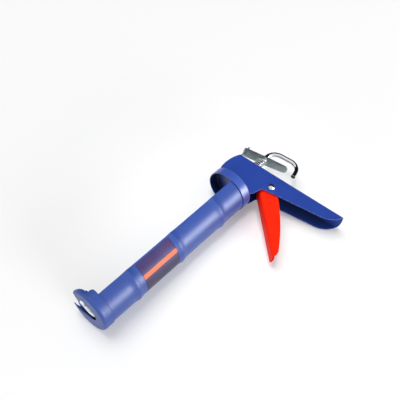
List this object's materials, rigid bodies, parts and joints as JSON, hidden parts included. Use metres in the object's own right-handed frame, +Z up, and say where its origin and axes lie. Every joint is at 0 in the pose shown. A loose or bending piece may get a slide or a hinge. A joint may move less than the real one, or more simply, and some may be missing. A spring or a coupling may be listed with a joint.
{
  "type": "caulking gun",
  "caption": "Hand-worked half-barrel caulking gun lying on its side: ribbed steel trough with slotted front cap, smooth push rod with pull hook, squeeze trigger and thumb release plate.",
  "frame": {"origin": "on the floor under the middle of the gun's bounding box, with the gun lying on its right side", "axes": "+X along the barrel towards the nozzle slot, +Y towards the grip's tip, +Z up from the floor towards the gun's left side"},
  "size_m": [0.331, 0.1544, 0.0565],
  "materials": {
    "blue_paint": "gloss powder coat",
    "red_paint": "gloss powder coat",
    "chrome_rod": "bright plated",
    "bright_steel": "bright plated",
    "zinc_plate": "zinc plated",
    "hard_steel": "oiled hardened steel",
    "spring_wire": "drawn wire"
  },
  "bodies": {
    "frame": {"cradle": "blue_paint", "front_cap": "blue_paint", "collar": "blue_paint", "handle_frame": "blue_paint", "trigger_rivet": "bright_steel", "catch_hanger": "zinc_plate", "strap_rivet": "bright_steel", "drive_spring": "spring_wire", "catch_spring": "spring_wire"},
    "plunger": {"plunger_disc": "zinc_plate", "plunger_backing": "zinc_plate"},
    "rod": {"rod": "chrome_rod", "plunger_washer": "zinc_plate", "plunger_nut": "zinc_plate", "rod_stop": "zinc_plate"},
    "trigger": {"trigger": "red_paint", "trigger_sleeve": "zinc_plate"},
    "drive": {"drive_plate_front": "hard_steel", "drive_plate_rear": "hard_steel"},
    "catch": {"catch_plate": "zinc_plate"}
  },
  "joints": [
    {"name": "plunger_slide", "type": "slide", "parent": "frame", "child": "plunger", "axis": [1, 0, 0], "range_m": [-0.212, 0]},
    {"name": "rod_turn", "type": "hinge", "parent": "plunger", "child": "rod", "pos_m": [0.16438, -0.04917, 0.02835], "axis": [1, 0, 0], "continuous": true},
    {"name": "trigger_squeeze", "type": "hinge", "parent": "frame", "child": "trigger", "pos_m": [-0.10412, -0.01343, 0.02405], "axis": [0, 0.1196, 0.9928], "range_deg": [0, 24], "stiffness_Nm_per_rad": 0.6, "springref_deg": -20.05},
    {"name": "drive_slide", "type": "slide", "parent": "frame", "child": "drive", "axis": [1, 0, 0], "range_m": [0, 0.0101], "deforming": ["drive_spring"]},
    {"name": "catch_release", "type": "hinge", "parent": "frame", "child": "catch", "pos_m": [-0.12639, -0.07176, 0.03107], "axis": [0, -0.1196, -0.9928], "range_deg": [0, 15], "stiffness_Nm_per_rad": 0.15, "springref_deg": -20.05, "deforming": ["catch_spring"]}
  ],
  "couplings": [
    {"joint": "drive_slide", "follows": "trigger_squeeze", "m_per_rad": 0.023825}
  ]
}
